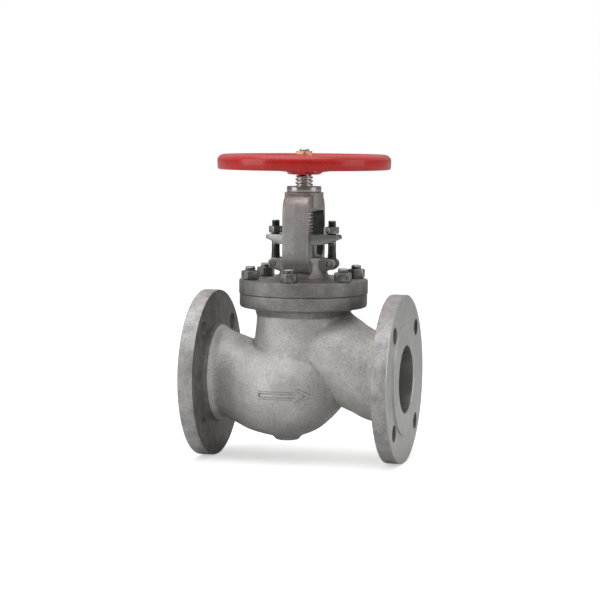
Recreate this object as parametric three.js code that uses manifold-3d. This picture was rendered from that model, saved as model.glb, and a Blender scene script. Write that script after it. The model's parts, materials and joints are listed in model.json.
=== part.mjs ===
// A flanged globe valve, nominal size 3 inch (DN80), class 150, with outside screw and yoke.
// Millimetres, +Z up. The origin is where the pipe axis (X) meets the stem axis (Z).
// The inlet flange faces -X and the outlet flange faces +X. The valve is shown closed.

import * as THREE from 'three';
import { mergeVertices } from 'three/addons/utils/BufferGeometryUtils.js';
import Module from 'manifold-3d';

const wasm = await Module();
wasm.setup();

// ---------------------------------------------------------------- driving dimensions

const GAP = 0.3; // clearance between pieces that touch
const FACE_TO_FACE = 241; // class 150, 3 inch, raised face
const FLANGE_RADIUS = 95;
const FLANGE_THICKNESS = 19.3; // raised face included
const RAISED_FACE_RADIUS = 63.5;
const RAISED_FACE_HEIGHT = 1.6;
const BOLT_CIRCLE_RADIUS = 76.2;
const BOLT_HOLE_RADIUS = 9.5;
const BOLT_HOLES = 4;
const PORT_RADIUS = 38.1;

const CHAMBER_RADIUS = 46; // upper chamber, below the bonnet
const CHAMBER_FLOOR = 13;
const SEAT_RADIUS = 36;
const SEAT_WIDTH = 3; // the 45 degree seating face, across and up
const NECK_RADIUS = 53;
const BODY_RIM_RADIUS = 72.3; // the body's flange under the bonnet
const BODY_RIM_BOTTOM = 78.6;
const BODY_RIM_TOP = 93.8;
const RECESS_RADIUS = 54.3; // the bonnet's spigot and the gasket sit in it
const RECESS_FLOOR = 89.5;
const BOSS_X = -18; // bottom boss
const BOSS_RADIUS = 15;
const BOSS_BOTTOM = -74.5;

const GASKET_THICKNESS = 1.6;
const BONNET_RIM_RADIUS = 73;
const BONNET_RIM_BOTTOM = 94.2;
const BONNET_RIM_TOP = 110.4;
const BONNET_NOSE_BOTTOM = 74; // underside of the bonnet, with the back seat
const BONNET_NOSE_RADIUS = 22;
const BOX_RADIUS = 15; // packing box bore
const BOX_FLOOR = 97;
const BOX_TOP = 134.5;
const BOX_WALL_RADIUS = 24;

const STUD_CIRCLE_RADIUS = 62;
const STUDS = 6;
const STUD_RADIUS = 5.9;
const STUD_HOLE_RADIUS = STUD_RADIUS + 0.9; // through the bonnet's flange
const STUD_BOTTOM = 81.3;
const STUD_TOP = 125.2;
const STUD_NUT_FLATS = 18;
const STUD_NUT_HEIGHT = 10;

const YOKE_WIDTH = 30; // each arm, along X
const YOKE_OUTER = 40; // from the stem axis
const YOKE_INNER = 33;
const YOKE_BOSS_RADIUS = 22;
const YOKE_BOSS_BOTTOM = 188.6;
const YOKE_BOSS_TOP = 208.2;

const BUSH_SLEEVE_RADIUS = 14;
const BUSH_FLANGE_RADIUS = 19.5;
const BUSH_TOP = 215;
const SCREW_RADIUS = 2.5;
const SCREW_HEIGHT = 198;

const STEM_RADIUS = 10; // crests of the 20 x 4 trapezoidal thread
const BUTTON_RADIUS = 14;
const BUTTON_BOTTOM = 14.3;
const BUTTON_TOP = 24.9;
const STEM_SHOULDER = 228; // the wheel's hub rests here
const STEM_SQUARE = 14;
const STEM_END_RADIUS = 5.9;
const STEM_TOP = 257;
const STEM_BORE = STEM_RADIUS + 0.35; // in the bonnet and the gland

const DISC_RADIUS = 39.6;
const DISC_BOTTOM = 6;
const DISC_TOP = 38;
const DISC_NOSE_RADIUS = 35; // below the seating cone
const DISC_COLLAR_RADIUS = 19.5;
const DISC_CUP_RADIUS = BUTTON_RADIUS + 0.5;
const CONE_CLEARANCE = 0.4; // of the closed disc above its seat
const DISC_NUT_FLATS = 32;
const DISC_NUT_HEIGHT = 7.7;
const DISC_NUT_THREAD_RADIUS = BUTTON_RADIUS + 0.2;
const DISC_LIFT = 24;
const BACK_SEAT_APEX = BONNET_NOSE_BOTTOM + 15.4; // where the back seat's 45 degree cone would end

const WHEEL_RADIUS = 98;
const WHEEL_BOTTOM = 234;
const WHEEL_RIM_HEIGHT = 17;
const WHEEL_RIM_WIDTH = 16.5;
const WHEEL_RIM_CROWN = 7; // the rounded upper part of the rim
const HUB_RADIUS = 19.5;
const HUB_TOP = 244.5;
const SPOKES = 5;
const FIRST_SPOKE = 18; // degrees from the outlet side
const SPOKE_WIDTH = 15;
const WASHER_RADIUS = 12.5;
const WASHER_THICKNESS = 1.5;
const WASHER_BOTTOM = HUB_TOP + GAP;
const WHEEL_NUT_BOTTOM = WASHER_BOTTOM + WASHER_THICKNESS + GAP;
const WHEEL_NUT_FLATS = 18;
const WHEEL_NUT_HEIGHT = 8;

const PIN_X = 33; // eye bolt pins and eye bolts, either side of the stem
const PIN_HEIGHT = 128;
const PIN_RADIUS = 3.5;
const PIN_HALF_LENGTH = 13;
const LUG_INNER = 5.5; // lug plates, from the stem plane along Y
const LUG_OUTER = 12.5;
const LUG_END_RADIUS = 6.2;
const EYE_RADIUS = 6.8;
const EYE_HALF_WIDTH = 5;
const EYE_BOLT_RADIUS = 4.6;
const EYE_BOLT_TOP = 176.6;
const GLAND_NUT_FLATS = 14.3;
const GLAND_NUT_HEIGHT = 7.8;
const GLAND_NUT_CLEARANCE = 1.1; // the nuts are backed off by about a turn

const GLAND_BOTTOM = 150;
const GLAND_TOP = 160.8;
const GLAND_HALF_LENGTH = 43;
const GLAND_HALF_WIDTH = 22;
const GLAND_END_HALF_WIDTH = 8.5;
const GLAND_CORNER = 3; // broken corners of the ends
const GLAND_BEVEL = 2.2; // on top of the tips
const GLAND_SLOT_HALF_WIDTH = EYE_BOLT_RADIUS + 0.6;
const FOLLOWER_RADIUS = 14.6;
const PACKING_RINGS = 5;
const PACKING_HEIGHT = 4.8;
const PACKING_WASHER_HEIGHT = 2;
const PACKING_BORE = STEM_RADIUS + GAP;
const PACKING_RADIUS = BOX_RADIUS - GAP;
const PACKING_FLOOR = BOX_FLOOR + GAP + PACKING_WASHER_HEIGHT + GAP;
const PACKING_PITCH = PACKING_HEIGHT + GAP;

const ROUND = 28; // facets on small turned pieces
const ROUND_LARGE = 40; // facets on castings and the wheel
const RIM_FACETS = 52; // facets round the wheel's rim
const ROUND_HOLE = 16;

// ---------------------------------------------------------------- shaping

// A closed three.js geometry as a solid that can be joined and cut.
function solid(geometry) {
  const bare = geometry.clone();
  bare.deleteAttribute('normal');
  bare.deleteAttribute('uv');
  const merged = mergeVertices(bare);
  const index = merged.index.array;
  const corners = [];
  for (let i = 0; i < index.length; i += 3) {
    const [a, b, c] = index.slice(i, i + 3);
    if (a !== b && b !== c && c !== a) corners.push(a, b, c);
  }
  return new wasm.Manifold(new wasm.Mesh({
    numProp: 3,
    vertProperties: new Float32Array(merged.attributes.position.array),
    triVerts: new Uint32Array(corners),
  }));
}

// A solid back as a three.js geometry.
function surface(shape) {
  const mesh = shape.getMesh();
  const geometry = new THREE.BufferGeometry();
  geometry.setAttribute('position', new THREE.BufferAttribute(mesh.vertProperties, 3));
  geometry.setIndex(new THREE.BufferAttribute(mesh.triVerts, 1));
  geometry.computeVertexNormals();
  return geometry;
}

// A profile of [radius, height] pairs turned about +Z. It runs anticlockwise, so faces point out.
function turned(profile, facets = ROUND) {
  const points = profile.map(([radius, height]) => new THREE.Vector2(radius, height));
  return new THREE.LatheGeometry(points, facets).rotateX(Math.PI / 2);
}

// A closed ring's profile is turned with its first point repeated at the end.
function turnedRing(profile, facets = ROUND) {
  return turned([...profile, profile[0]], facets);
}

function tube(inner, outer, bottom, top, facets = ROUND) {
  return turnedRing([[inner, bottom], [outer, bottom], [outer, top], [inner, top]], facets);
}

function rod(radius, bottom, top, facets = ROUND) {
  return turned([[0, bottom], [radius, bottom], [radius, top], [0, top]], facets);
}

// A rod with its edges broken at both ends.
function chamferedRod(radius, bottom, top, chamfer, facets = ROUND) {
  return turned([
    [0, bottom],
    [radius - chamfer, bottom],
    [radius, bottom + chamfer],
    [radius, top - chamfer],
    [radius - chamfer, top],
    [0, top],
  ], facets);
}

// A hexagonal prism across flats, corners along Y, with a hole through it.
function hexNut(flats, bottom, height, hole) {
  const prism = rod(flats / 2 / Math.cos(Math.PI / 6), bottom, bottom + height, 6);
  const bore = rod(hole, bottom - 1, bottom + height + 1, ROUND_HOLE);
  return solid(prism).subtract(solid(bore));
}

// An outline of [x, y] pairs raised along +Z.
function raised(outline, bottom, top) {
  const shape = new THREE.Shape(outline.map(([x, y]) => new THREE.Vector2(x, y)));
  return new THREE.ExtrudeGeometry(shape, { depth: top - bottom, bevelEnabled: false })
    .translate(0, 0, bottom);
}

// An upright outline of [x, z] pairs spread along Y, from one Y to another.
function spread(outline, fromY, toY) {
  const shape = new THREE.Shape(outline.map(([x, z]) => new THREE.Vector2(x, z)));
  return new THREE.ExtrudeGeometry(shape, { depth: toY - fromY, bevelEnabled: false })
    .rotateX(Math.PI / 2)
    .translate(0, toY, 0);
}

// A rod that lies along Y.
function crossRod(radius, halfLength, x, z, facets = ROUND_HOLE) {
  return rod(radius, -halfLength, halfLength, facets).rotateX(Math.PI / 2).translate(x, 0, z);
}

// A hollow way or its casting: upright oval sections along X, each {x, bottom, top, half} with half its
// width, joined by smooth curves.
function way(sections, steps, sides) {
  const heights = sections.map(({ x, bottom, top }) => new THREE.Vector3(x, bottom, top));
  const widths = sections.map(({ x, half }) => new THREE.Vector3(x, half, 0));
  const heightCurve = new THREE.CatmullRomCurve3(heights, false, 'catmullrom', 0.5);
  const widthCurve = new THREE.CatmullRomCurve3(widths, false, 'catmullrom', 0.5);
  const positions = [];
  for (let i = 0; i <= steps; i += 1) {
    const height = heightCurve.getPoint(i / steps);
    const half = widthCurve.getPoint(i / steps).y;
    const middle = (height.y + height.z) / 2;
    const rise = (height.z - height.y) / 2;
    for (let j = 0; j < sides; j += 1) {
      const angle = (j / sides) * 2 * Math.PI;
      positions.push(height.x, half * Math.cos(angle), middle + rise * Math.sin(angle));
    }
  }
  const first = heights[0];
  const last = heights[heights.length - 1];
  const startCentre = positions.length / 3;
  positions.push(first.x, 0, (first.y + first.z) / 2, last.x, 0, (last.y + last.z) / 2);
  const index = [];
  for (let j = 0; j < sides; j += 1) {
    const next = (j + 1) % sides;
    index.push(startCentre, next, j);
    index.push(startCentre + 1, steps * sides + j, steps * sides + next);
    for (let i = 0; i < steps; i += 1) {
      const a = i * sides + j;
      const b = i * sides + next;
      index.push(a, b, b + sides, a, b + sides, a + sides);
    }
  }
  const geometry = new THREE.BufferGeometry();
  geometry.setAttribute('position', new THREE.Float32BufferAttribute(positions, 3));
  geometry.setIndex(index);
  return geometry;
}

function join(...geometries) {
  return geometries.map(solid).reduce((whole, piece) => whole.add(piece));
}

function cut(whole, ...geometries) {
  return geometries.map(solid).reduce((left, piece) => left.subtract(piece), whole);
}

// Angles of evenly spaced holes, in radians from +X.
function evenly(count, firstDegrees) {
  return Array.from({ length: count }, (_, i) => ((firstDegrees + (i * 360) / count) * Math.PI) / 180);
}

const STUD_PLACES = evenly(STUDS, 30).map((angle) => [
  STUD_CIRCLE_RADIUS * Math.cos(angle),
  STUD_CIRCLE_RADIUS * Math.sin(angle),
]);

// ---------------------------------------------------------------- materials

const material = (color, roughness, metalness) =>
  new THREE.MeshStandardMaterial({ color, roughness, metalness });

const castSteel = material(0x8f8a86, 0.62, 0.85);
const machinedSteel = material(0xb9b8b5, 0.3, 0.95);
const stemSteel = material(0xa9a7a3, 0.25, 0.95);
const fastenerSteel = material(0x6f6d6b, 0.38, 0.9);
const redPaint = material(0xb3201c, 0.28, 0.1);
const brass = material(0xa87a4a, 0.32, 0.9);
const graphite = material(0x2f2f31, 0.7, 0.1);

const valve = new THREE.Group();

function place(name, shape, finish) {
  const geometry = shape.isBufferGeometry ? shape : surface(shape);
  const mesh = new THREE.Mesh(geometry, finish);
  mesh.name = name;
  valve.add(mesh);
}

// ---------------------------------------------------------------- body casting

function pipeFlange() {
  const back = FACE_TO_FACE / 2 - FLANGE_THICKNESS;
  const step = FACE_TO_FACE / 2 - RAISED_FACE_HEIGHT;
  return turned([
    [0, back],
    [FLANGE_RADIUS, back],
    [FLANGE_RADIUS, step],
    [RAISED_FACE_RADIUS, step],
    [RAISED_FACE_RADIUS, FACE_TO_FACE / 2],
    [0, FACE_TO_FACE / 2],
  ], ROUND_LARGE);
}

const towardsOutlet = (geometry) => geometry.rotateY(Math.PI / 2);
const towardsInlet = (geometry) => geometry.rotateY(-Math.PI / 2);

function body() {
  const flangeBack = FACE_TO_FACE / 2 - FLANGE_THICKNESS;
  const bowl = way([
    { x: -flangeBack - 2, bottom: -56, top: 56, half: 56 },
    { x: -90, bottom: -50, top: 49, half: 49 },
    { x: -75, bottom: -57, top: 45, half: 53 },
    { x: -60, bottom: -63.5, top: 40, half: 59 },
    { x: -40, bottom: -68.5, top: 42, half: 65 },
    { x: -18, bottom: -70.5, top: 48, half: 69 },
    { x: 0, bottom: -68, top: 50, half: 68 },
    { x: 18, bottom: -60.5, top: 46, half: 62 },
    { x: 33, bottom: -48, top: 34, half: 51 },
    { x: 45, bottom: -34, top: 16, half: 37 },
    { x: 55, bottom: -15, top: 2, half: 15 },
  ], 15, 24);
  const outlet = way([
    { x: 5, bottom: 5, top: 74, half: 50 },
    { x: 30, bottom: -18, top: 76, half: 53 },
    { x: 47, bottom: -33, top: 76, half: 54 },
    { x: 61, bottom: -39.5, top: 68, half: 54 },
    { x: 73, bottom: -45.5, top: 59.5, half: 53 },
    { x: 86, bottom: -49.5, top: 53, half: 51.5 },
    { x: flangeBack + 2, bottom: -55, top: 55, half: 55 },
  ], 8, 24);
  const neck = turned([
    [0, 0],
    [NECK_RADIUS + 2, 0],
    [NECK_RADIUS + 2, 42],
    [NECK_RADIUS, 60],
    [NECK_RADIUS, BODY_RIM_BOTTOM - 4],
    [NECK_RADIUS + 4, BODY_RIM_BOTTOM],
    [BODY_RIM_RADIUS - 3, BODY_RIM_BOTTOM],
    [BODY_RIM_RADIUS, BODY_RIM_BOTTOM + 3],
    [BODY_RIM_RADIUS, BODY_RIM_TOP],
    [0, BODY_RIM_TOP],
  ], ROUND_LARGE);
  const boss = chamferedRod(BOSS_RADIUS, BOSS_BOTTOM, -50, 1.5).translate(BOSS_X, 0, 0);
  const casting = join(
    bowl,
    outlet,
    neck,
    boss,
    towardsOutlet(pipeFlange()),
    towardsInlet(pipeFlange()),
  );

  const inletWay = way([
    { x: -FACE_TO_FACE / 2 - 5, bottom: -PORT_RADIUS, top: PORT_RADIUS, half: PORT_RADIUS },
    { x: -98, bottom: -PORT_RADIUS, top: PORT_RADIUS, half: PORT_RADIUS },
    { x: -80, bottom: -43, top: 35, half: 40 },
    { x: -65, bottom: -50, top: 24, half: 46 },
    { x: -50, bottom: -54, top: 6, half: 51 },
    { x: -36, bottom: -57, top: -1, half: 55 },
    { x: -18, bottom: -59, top: -4, half: 58 },
    { x: 0, bottom: -57, top: -5, half: 56 },
    { x: 18, bottom: -48, top: -6, half: 47 },
    { x: 32, bottom: -36, top: -9, half: 31 },
    { x: 41, bottom: -24, top: -16, half: 6 },
  ], 12, 16);
  const outletWay = way([
    { x: 15, bottom: CHAMBER_FLOOR, top: 72, half: 40 },
    { x: 36, bottom: 7, top: 68, half: 43 },
    { x: 46, bottom: -9, top: 65, half: 44 },
    { x: 58, bottom: -24, top: 58.5, half: 44 },
    { x: 72, bottom: -34, top: 49, half: 42 },
    { x: 86, bottom: -37.6, top: 42, half: 39.5 },
    { x: 98, bottom: -PORT_RADIUS, top: PORT_RADIUS, half: PORT_RADIUS },
    { x: FACE_TO_FACE / 2 + 5, bottom: -PORT_RADIUS, top: PORT_RADIUS, half: PORT_RADIUS },
  ], 8, 16);
  const chamber = turned([
    [0, -20],
    [SEAT_RADIUS, -20],
    [SEAT_RADIUS, CHAMBER_FLOOR - SEAT_WIDTH],
    [SEAT_RADIUS + SEAT_WIDTH, CHAMBER_FLOOR],
    [CHAMBER_RADIUS, CHAMBER_FLOOR],
    [CHAMBER_RADIUS, RECESS_FLOOR],
    [RECESS_RADIUS, RECESS_FLOOR],
    [RECESS_RADIUS, BODY_RIM_TOP + 5],
    [0, BODY_RIM_TOP + 5],
  ], ROUND_LARGE);
  const studHoles = STUD_PLACES.map(([x, y]) =>
    rod(STUD_RADIUS + GAP, STUD_BOTTOM - GAP, BODY_RIM_TOP + 5, ROUND_HOLE).translate(x, y, 0));
  const boltHoles = evenly(BOLT_HOLES, 45).map((angle) =>
    rod(BOLT_HOLE_RADIUS, flangeBack - 5, FACE_TO_FACE / 2 + 5, ROUND_HOLE)
      .translate(BOLT_CIRCLE_RADIUS * Math.cos(angle), BOLT_CIRCLE_RADIUS * Math.sin(angle), 0));
  return cut(
    casting,
    inletWay,
    outletWay,
    chamber,
    ...studHoles,
    ...boltHoles.map((hole) => towardsOutlet(hole.clone())),
    ...boltHoles.map((hole) => towardsInlet(hole.clone())),
  );
}

place('body', body(), castSteel);

// ---------------------------------------------------------------- bonnet casting, with the yoke

// One side of the arch, from the packing box's foot out, up and in to the yoke's boss.
function yokeArm() {
  const side = new THREE.Shape();
  side.moveTo(20, 116);
  side.quadraticCurveTo(YOKE_OUTER - 1, 122, YOKE_OUTER, 140);
  side.lineTo(YOKE_OUTER, 184);
  side.quadraticCurveTo(YOKE_OUTER, 200, 27, 205);
  side.lineTo(18, 206);
  side.lineTo(18, YOKE_BOSS_BOTTOM);
  side.lineTo(27, YOKE_BOSS_BOTTOM);
  side.quadraticCurveTo(YOKE_INNER, 187, YOKE_INNER, 181);
  side.lineTo(YOKE_INNER, 146);
  side.quadraticCurveTo(YOKE_INNER - 1, 135, 20, 131);
  side.closePath();
  const edge = 3;
  const arm = new THREE.ExtrudeGeometry(side, {
    depth: YOKE_WIDTH - 2 * edge,
    curveSegments: 4,
    bevelEnabled: true,
    bevelThickness: edge,
    bevelSize: 2,
    bevelOffset: -2,
    bevelSegments: 1,
  });
  // Drawn across X and Y, it is stood up in the plane of Y and Z.
  return arm.translate(0, 0, edge - YOKE_WIDTH / 2).rotateX(Math.PI / 2).rotateZ(Math.PI / 2);
}

// One of the four plates beside the packing box that carry the gland bolts' pins.
function lug(side, fromY, toY) {
  const outline = [];
  for (const degrees of [-62, -40, -20, 0, 20, 40, 60, 90]) {
    const angle = (degrees * Math.PI) / 180;
    outline.push([PIN_X + LUG_END_RADIUS * Math.cos(angle), PIN_HEIGHT + LUG_END_RADIUS * Math.sin(angle)]);
  }
  outline.push([18, BOX_TOP], [18, 117.5]);
  const plate = spread(outline, fromY, toY);
  return side > 0 ? plate : plate.rotateZ(Math.PI);
}

// The shell is the flange, the spigot in the body's recess, the nose below it and the packing box.
function bonnet() {
  const shell = turned([
    [0, BONNET_NOSE_BOTTOM],
    [BONNET_NOSE_RADIUS, BONNET_NOSE_BOTTOM],
    [BONNET_NOSE_RADIUS + 2, RECESS_FLOOR + GASKET_THICKNESS + 2 * GAP],
    [RECESS_RADIUS - GAP, RECESS_FLOOR + GASKET_THICKNESS + 2 * GAP],
    [RECESS_RADIUS - GAP, BONNET_RIM_BOTTOM],
    [BONNET_RIM_RADIUS, BONNET_RIM_BOTTOM],
    [BONNET_RIM_RADIUS, BONNET_RIM_TOP - 1],
    [BONNET_RIM_RADIUS - 1, BONNET_RIM_TOP],
    [38, BONNET_RIM_TOP],
    [31, 112],
    [27, 115.5],
    [BOX_WALL_RADIUS + 1, 120],
    [BOX_WALL_RADIUS, BOX_TOP],
    [0, BOX_TOP],
  ], ROUND_LARGE);
  const yokeBoss = rod(YOKE_BOSS_RADIUS, YOKE_BOSS_BOTTOM, YOKE_BOSS_TOP);
  const lugs = [];
  for (const side of [-1, 1]) {
    lugs.push(lug(side, LUG_INNER, LUG_OUTER), lug(side, -LUG_OUTER, -LUG_INNER));
  }
  const casting = join(shell, yokeBoss, yokeArm(), yokeArm().rotateZ(Math.PI), ...lugs);

  const mouth = BONNET_NOSE_BOTTOM - 4;
  const bore = turned([
    [0, mouth],
    [BACK_SEAT_APEX - mouth, mouth],
    [STEM_BORE, BACK_SEAT_APEX - STEM_BORE],
    [STEM_BORE, BOX_FLOOR],
    [BOX_RADIUS, BOX_FLOOR],
    [BOX_RADIUS, BOX_TOP + 5],
    [0, BOX_TOP + 5],
  ]);
  const bushBore = rod(BUSH_SLEEVE_RADIUS + GAP, YOKE_BOSS_BOTTOM - 5, YOKE_BOSS_TOP + 5);
  const screwHole = towardsInlet(rod(SCREW_RADIUS + GAP, 10, YOKE_BOSS_RADIUS + 5, ROUND_HOLE))
    .translate(0, 0, SCREW_HEIGHT);
  const studHoles = STUD_PLACES.map(([x, y]) =>
    rod(STUD_HOLE_RADIUS, BONNET_RIM_BOTTOM - 5, BONNET_RIM_TOP + 5, ROUND_HOLE).translate(x, y, 0));
  const pinHoles = [-1, 1].map((side) =>
    crossRod(PIN_RADIUS + GAP, LUG_OUTER + 2, side * PIN_X, PIN_HEIGHT));
  return cut(casting, bore, bushBore, screwHole, ...studHoles, ...pinHoles);
}

place('bonnet', bonnet(), castSteel);

place(
  'bonnet_gasket',
  tube(
    CHAMBER_RADIUS + 1,
    RECESS_RADIUS - GAP,
    RECESS_FLOOR + GAP,
    RECESS_FLOOR + GAP + GASKET_THICKNESS,
    ROUND_LARGE,
  ),
  graphite,
);

STUD_PLACES.forEach(([x, y], i) => {
  const stud = chamferedRod(STUD_RADIUS, STUD_BOTTOM, STUD_TOP, 1.2, ROUND_HOLE);
  place(`bonnet_stud_${i + 1}`, stud.translate(x, y, 0), fastenerSteel);
});

STUD_PLACES.forEach(([x, y], i) => {
  const nut = hexNut(STUD_NUT_FLATS, BONNET_RIM_TOP + GAP, STUD_NUT_HEIGHT, STUD_RADIUS + GAP);
  place(`bonnet_nut_${i + 1}`, surface(nut).translate(x, y, 0), fastenerSteel);
});

// ---------------------------------------------------------------- yoke bush

place(
  'yoke_bush',
  turnedRing([
    [STEM_RADIUS + GAP, YOKE_BOSS_BOTTOM - 1.6],
    [BUSH_SLEEVE_RADIUS, YOKE_BOSS_BOTTOM - 1.6],
    [BUSH_SLEEVE_RADIUS, YOKE_BOSS_TOP + GAP],
    [BUSH_FLANGE_RADIUS, YOKE_BOSS_TOP + GAP],
    [BUSH_FLANGE_RADIUS, BUSH_TOP - 0.6],
    [BUSH_FLANGE_RADIUS - 0.6, BUSH_TOP],
    [STEM_RADIUS + GAP, BUSH_TOP],
  ]),
  machinedSteel,
);

place(
  'yoke_bush_screw',
  towardsInlet(rod(SCREW_RADIUS, BUSH_SLEEVE_RADIUS + GAP, YOKE_BOSS_RADIUS - 0.5, ROUND_HOLE))
    .translate(0, 0, SCREW_HEIGHT),
  fastenerSteel,
);

// ---------------------------------------------------------------- disc, disc nut and stem

// The disc's cone meets the seat's, and its cup holds the stem's button.
const seatHeight = (radius) => CHAMBER_FLOOR - SEAT_WIDTH + CONE_CLEARANCE + radius - SEAT_RADIUS;

place(
  'disc',
  turned([
    [0, DISC_BOTTOM],
    [DISC_NOSE_RADIUS, DISC_BOTTOM],
    [DISC_NOSE_RADIUS, seatHeight(DISC_NOSE_RADIUS)],
    [DISC_RADIUS, seatHeight(DISC_RADIUS)],
    [DISC_RADIUS, 21],
    [DISC_RADIUS - 3.6, 24],
    [DISC_COLLAR_RADIUS + 2.5, 27],
    [DISC_COLLAR_RADIUS, 30],
    [DISC_COLLAR_RADIUS, DISC_TOP],
    [DISC_CUP_RADIUS, DISC_TOP],
    [DISC_CUP_RADIUS, BUTTON_BOTTOM - GAP],
    [0, BUTTON_BOTTOM - GAP],
  ], ROUND_LARGE),
  machinedSteel,
);

// It screws into the disc's collar over the stem's button. Its cone meets the back seat at full lift.
function discNut() {
  const hole = STEM_RADIUS + 0.4;
  const coneBase = DISC_NUT_THREAD_RADIUS + 0.8;
  const coneApex = BACK_SEAT_APEX - DISC_LIFT - 2 * GAP;
  const threadBottom = BUTTON_TOP + 0.4;
  const ring = turnedRing([
    [hole, threadBottom],
    [DISC_NUT_THREAD_RADIUS, threadBottom],
    [DISC_NUT_THREAD_RADIUS, DISC_TOP + 1],
    [coneBase, DISC_TOP + 1],
    [coneBase, coneApex - coneBase],
    [11, coneApex - 11],
    [hole, coneApex - 11],
  ]);
  return solid(ring).add(hexNut(DISC_NUT_FLATS, DISC_TOP + GAP, DISC_NUT_HEIGHT, hole + 2));
}

place('disc_nut', discNut(), machinedSteel);

function stem() {
  const shank = turned([
    [0, BUTTON_BOTTOM],
    [BUTTON_RADIUS, BUTTON_BOTTOM],
    [BUTTON_RADIUS, BUTTON_TOP],
    [STEM_RADIUS, BUTTON_TOP],
    [STEM_RADIUS, STEM_SHOULDER],
    [0, STEM_SHOULDER],
  ]);
  // The square stops short of the hub's top, so that the nut draws the hub down to the shoulder.
  const square = new THREE.BoxGeometry(STEM_SQUARE, STEM_SQUARE, HUB_TOP - STEM_SHOULDER)
    .translate(0, 0, (HUB_TOP + STEM_SHOULDER) / 2 - 1);
  const end = chamferedRod(STEM_END_RADIUS, STEM_SHOULDER, STEM_TOP, 1, ROUND_HOLE);
  return join(shank, square, end);
}

place('stem', stem(), stemSteel);

// ---------------------------------------------------------------- handwheel

function handwheel() {
  const inner = WHEEL_RADIUS - WHEEL_RIM_WIDTH;
  const middle = inner + WHEEL_RIM_WIDTH / 2;
  const rimTop = WHEEL_BOTTOM + WHEEL_RIM_HEIGHT;
  const rimProfile = [
    [inner + 1.5, WHEEL_BOTTOM],
    [WHEEL_RADIUS - 1.5, WHEEL_BOTTOM],
    [WHEEL_RADIUS, WHEEL_BOTTOM + 1.5],
  ];
  for (const degrees of [0, 40, 90, 140, 180]) {
    const angle = (degrees * Math.PI) / 180;
    rimProfile.push([
      middle + (WHEEL_RIM_WIDTH / 2) * Math.cos(angle),
      rimTop - WHEEL_RIM_CROWN * (1 - Math.sin(angle)),
    ]);
  }
  rimProfile.push([inner, WHEEL_BOTTOM + 1.5]);
  const hub = turned([
    [0, STEM_SHOULDER + GAP],
    [HUB_RADIUS - 1, STEM_SHOULDER + GAP],
    [HUB_RADIUS, STEM_SHOULDER + 1.3],
    [HUB_RADIUS - 2, HUB_TOP],
    [0, HUB_TOP],
  ]);
  const spokes = evenly(SPOKES, FIRST_SPOKE).map((angle) =>
    spread([
      [14, STEM_SHOULDER + 1.5],
      [inner + 4, WHEEL_BOTTOM + 3],
      [inner + 4, WHEEL_BOTTOM + 11.5],
      [14, HUB_TOP - 2.5],
    ], -SPOKE_WIDTH / 2, SPOKE_WIDTH / 2).rotateZ(angle));
  const square = STEM_SQUARE + 2 * GAP;
  const squareHole = new THREE.BoxGeometry(square, square, 60).translate(0, 0, HUB_TOP);
  return cut(join(turnedRing(rimProfile, RIM_FACETS), hub, ...spokes), squareHole);
}

place('handwheel', handwheel(), redPaint);

place(
  'wheel_washer',
  tube(STEM_END_RADIUS + GAP, WASHER_RADIUS, WASHER_BOTTOM, WASHER_BOTTOM + WASHER_THICKNESS),
  machinedSteel,
);

const wheelNut = hexNut(WHEEL_NUT_FLATS, WHEEL_NUT_BOTTOM, WHEEL_NUT_HEIGHT, STEM_END_RADIUS + GAP);
place('wheel_nut', surface(wheelNut).rotateZ(Math.PI / 12), brass);

// ---------------------------------------------------------------- packing and gland

place(
  'packing_washer',
  tube(PACKING_BORE, PACKING_RADIUS, BOX_FLOOR + GAP, BOX_FLOOR + GAP + PACKING_WASHER_HEIGHT),
  machinedSteel,
);

for (let i = 0; i < PACKING_RINGS; i += 1) {
  const bottom = PACKING_FLOOR + i * PACKING_PITCH;
  const ring = tube(PACKING_BORE, PACKING_RADIUS, bottom, bottom + PACKING_HEIGHT);
  place(`packing_ring_${i + 1}`, ring, graphite);
}

// An oval flange on its follower; the eye bolts stand in open slots in its ends.
function gland() {
  const quarter = [
    [GLAND_HALF_LENGTH, GLAND_END_HALF_WIDTH - GLAND_CORNER],
    [GLAND_HALF_LENGTH - GLAND_CORNER, GLAND_END_HALF_WIDTH],
    [24, 15.5],
    [14, 20],
    [3, GLAND_HALF_WIDTH],
  ];
  const plate = raised([
    ...quarter,
    ...quarter.map(([x, y]) => [-x, y]).reverse(),
    ...quarter.map(([x, y]) => [-x, -y]),
    ...quarter.map(([x, y]) => [x, -y]).reverse(),
  ], GLAND_BOTTOM, GLAND_TOP);
  const follower = rod(FOLLOWER_RADIUS, PACKING_FLOOR + PACKING_RINGS * PACKING_PITCH, GLAND_BOTTOM + 2);
  const wide = GLAND_HALF_WIDTH + 5;
  const tip = GLAND_HALF_LENGTH - GLAND_BEVEL;
  const cuts = [rod(STEM_BORE, 100, 200)];
  for (const side of [-1, 1]) {
    const end = [
      // The ends thin towards the bolts from below, and their tips are bevelled on top.
      spread([[25, 140], [60, 140], [60, 163], [26, GLAND_BOTTOM - 0.4]], -wide, wide),
      spread([[tip, GLAND_TOP], [tip + 3, GLAND_TOP - 3], [60, 150], [60, 170], [tip, 170]], -wide, wide),
      rod(GLAND_SLOT_HALF_WIDTH, 100, 200, ROUND_HOLE).translate(PIN_X, 0, 0),
      new THREE.BoxGeometry(30, 2 * GLAND_SLOT_HALF_WIDTH, 100).translate(PIN_X + 15, 0, GLAND_TOP),
    ];
    cuts.push(...end.map((piece) => (side > 0 ? piece : piece.rotateZ(Math.PI))));
  }
  return cut(join(plate, follower), ...cuts);
}

place('gland', gland(), machinedSteel);

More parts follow.
